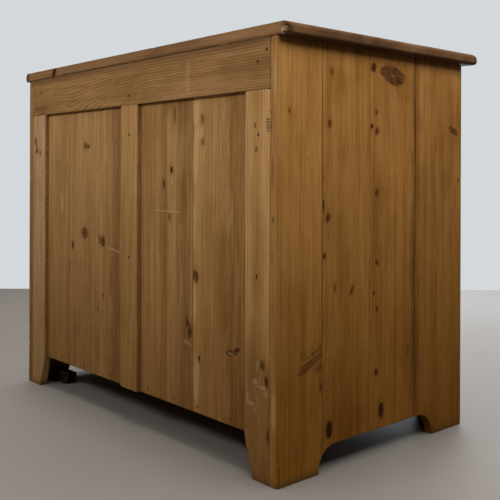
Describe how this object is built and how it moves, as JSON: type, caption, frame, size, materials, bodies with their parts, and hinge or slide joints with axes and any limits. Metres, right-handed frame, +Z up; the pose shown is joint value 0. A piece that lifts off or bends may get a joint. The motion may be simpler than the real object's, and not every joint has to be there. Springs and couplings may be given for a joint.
{
  "type": "pine cupboard",
  "caption": "Freestanding waxed pine cupboard with a moulded top, boarded sides on arched feet, framed panelled back, hinged panelled doors with lock, and a shelf inside.",
  "frame": {"origin": "on the floor, under the middle of the whole cupboard's box (doors shut)", "axes": "+X to the right of someone who faces the doors, +Y from the doors to the back, +Z up"},
  "size_m": [1.046, 0.614, 0.85],
  "materials": {
    "pine_top": "waxed old pine, darker at the moulded edges",
    "pine_side": "waxed old pine, warm honey brown with knots",
    "pine_back": "dry waxed pine, a little greyer, with nail holes",
    "pine_front": "waxed old pine",
    "pine_inside": "bare dusty pine",
    "knob_pine": "turned and waxed",
    "brass": "aged, unpolished",
    "iron": "dark, lightly rusted"
  },
  "bodies": {
    "carcase": {"top_rear_board": "pine_top", "top_middle_board": "pine_top", "top_front_board": "pine_top", "left_side_rear_board": "pine_side", "left_side_second_board": "pine_side", "left_side_third_board": "pine_side", "left_side_front_board": "pine_side", "right_side_rear_board": "pine_side", "right_side_second_board": "pine_side", "right_side_third_board": "pine_side", "right_side_front_board": "pine_side", "back_top_rail": "pine_back", "back_left_stile": "pine_back", "back_right_stile": "pine_back", "back_muntin": "pine_back", "back_left_panel_outer_board": "pine_back", "back_left_panel_inner_board": "pine_back", "back_right_panel_inner_board": "pine_back", "back_right_panel_outer_board": "pine_back", "back_nails": "iron", "bottom_rear_board": "pine_inside", "bottom_front_board": "pine_inside", "bottom_bearers": "pine_inside", "shelf_rear_board": "pine_inside", "shelf_front_board": "pine_inside", "shelf_bearers": "pine_inside", "front_top_rail": "pine_front", "front_apron": "pine_front", "front_left_stile": "pine_front", "front_right_stile": "pine_front", "door_stop": "pine_inside", "glue_blocks": "pine_inside", "rear_toe_blocks": "pine_inside", "frame_hinge_leaves": "brass", "frame_hinge_screws": "brass", "hinge_pins": "brass", "bolt_keeper": "brass"},
    "left_door": {"left_door_hinge_stile": "pine_front", "left_door_meeting_stile": "pine_front", "left_door_top_rail": "pine_front", "left_door_bottom_rail": "pine_front", "left_door_panel": "pine_front", "left_door_knob": "knob_pine", "left_door_hinge_leaves": "brass", "left_door_hinge_screws": "brass", "strike_plate": "brass", "bolt_plate": "brass"},
    "right_door": {"right_door_hinge_stile": "pine_front", "right_door_meeting_stile": "pine_front", "right_door_top_rail": "pine_front", "right_door_bottom_rail": "pine_front", "right_door_panel": "pine_front", "right_door_knob": "knob_pine", "right_door_hinge_leaves": "brass", "right_door_hinge_screws": "brass", "lock_case": "brass", "escutcheon": "brass"},
    "lock_bolt": {"lock_bolt": "brass"},
    "lock_key": {"lock_key": "iron"},
    "bolt_rod": {"bolt_rod": "brass"}
  },
  "joints": [
    {"name": "left_door_hinge", "type": "hinge", "parent": "carcase", "child": "left_door", "pos_m": [-0.43325, -0.2775, 0.443], "axis": [0, 0, -1], "range_deg": [0, 170]},
    {"name": "right_door_hinge", "type": "hinge", "parent": "carcase", "child": "right_door", "pos_m": [0.43325, -0.2775, 0.443], "axis": [0, 0, 1], "range_deg": [0, 170]},
    {"name": "key_turn", "type": "hinge", "parent": "right_door", "child": "lock_key", "pos_m": [0.03225, -0.246, 0.496], "axis": [0, -1, 0], "range_deg": [0, 360]},
    {"name": "lock_bolt_slide", "type": "slide", "parent": "right_door", "child": "lock_bolt", "axis": [-1, 0, 0], "range_m": [0, 0.012]},
    {"name": "upright_bolt_slide", "type": "slide", "parent": "left_door", "child": "bolt_rod", "axis": [0, 0, 1], "range_m": [0, 0.012]}
  ],
  "couplings": [
    {"joint": "key_turn", "follows": "lock_bolt_slide", "rad_per_m": 523.6}
  ]
}
